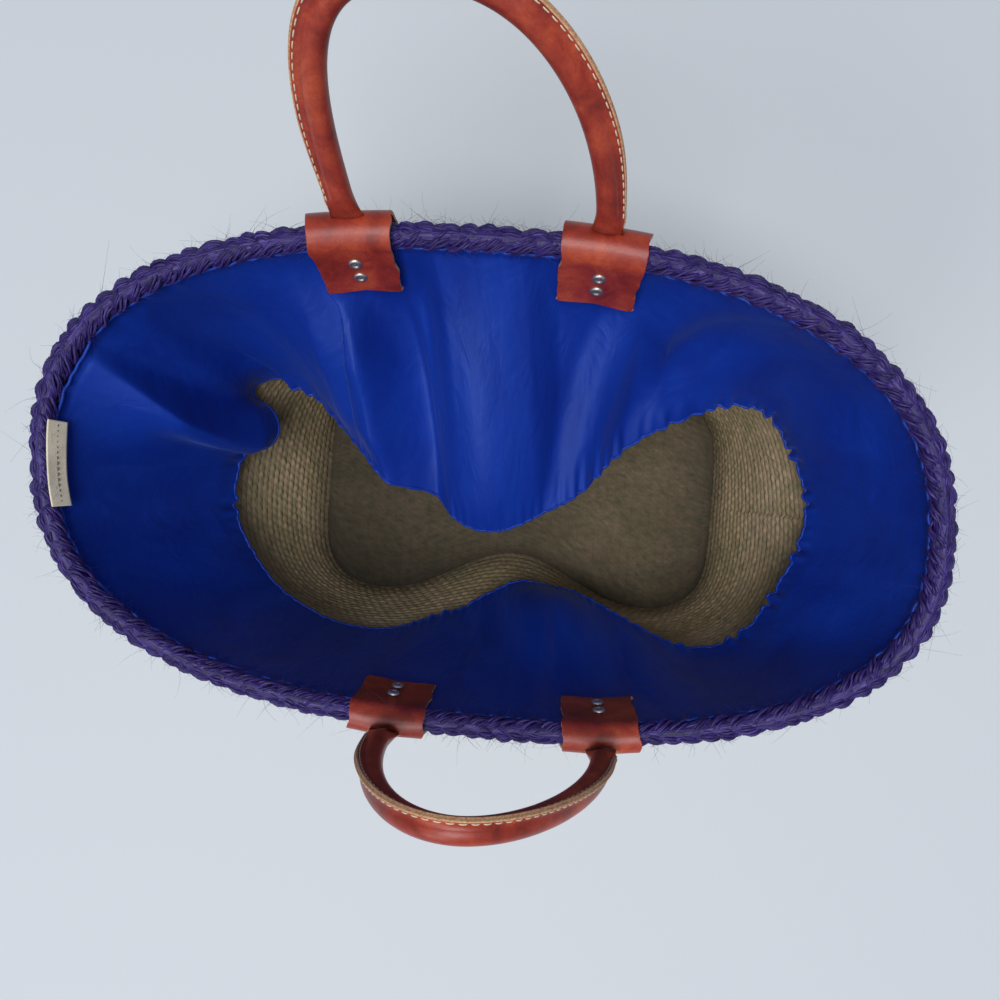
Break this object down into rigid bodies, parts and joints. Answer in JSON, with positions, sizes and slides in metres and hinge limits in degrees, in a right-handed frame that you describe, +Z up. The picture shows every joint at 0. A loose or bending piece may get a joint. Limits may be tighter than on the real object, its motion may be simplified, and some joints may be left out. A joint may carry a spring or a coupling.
{
  "type": "woven tote bag",
  "caption": "Oval woven-fibre basket bag with a plaited rim, a gathered satin lining, and rolled leather handles that swing at riveted tabs.",
  "frame": {"origin": "centre of the underside of the woven base, on the surface that the bag stands on", "axes": "+X along the bag's length, towards its right end; +Y from the front handle to the back handle; +Z up"},
  "size_m": [0.542, 0.3682, 0.4123],
  "materials": {
    "fibre": "matte",
    "braid": "matte",
    "satin": "satin",
    "leather": "satin",
    "core_rope": "matte",
    "rivet_metal": "satin",
    "label": "matte"
  },
  "bodies": {
    "bag": {"woven_base": "fibre", "woven_wall": "fibre", "rim_braid": "braid", "lining_front_panel": "satin", "lining_back_panel": "satin", "side_label": "label", "handle_end_front_left": "leather", "tab_front_left": "leather", "rivet_front_left_upper": "rivet_metal", "rivet_front_left_lower": "rivet_metal", "handle_end_front_right": "leather", "tab_front_right": "leather", "rivet_front_right_upper": "rivet_metal", "rivet_front_right_lower": "rivet_metal", "handle_end_back_left": "leather", "tab_back_left": "leather", "rivet_back_left_upper": "rivet_metal", "rivet_back_left_lower": "rivet_metal", "handle_end_back_right": "leather", "tab_back_right": "leather", "rivet_back_right_upper": "rivet_metal", "rivet_back_right_lower": "rivet_metal"},
    "handle_front": {"handle_front_cover": "leather", "handle_front_core": "core_rope"},
    "handle_back": {"handle_back_cover": "leather", "handle_back_core": "core_rope"}
  },
  "joints": [
    {"name": "handle_front_swing", "type": "hinge", "parent": "bag", "child": "handle_front", "pos_m": [0.00258, -0.14618, 0.25296], "axis": [1, 0, 0], "range_deg": [-74, 106]},
    {"name": "handle_back_swing", "type": "hinge", "parent": "bag", "child": "handle_back", "pos_m": [-0.02457, 0.14548, 0.29693], "axis": [1, 0, 0], "range_deg": [-74, 106]}
  ]
}
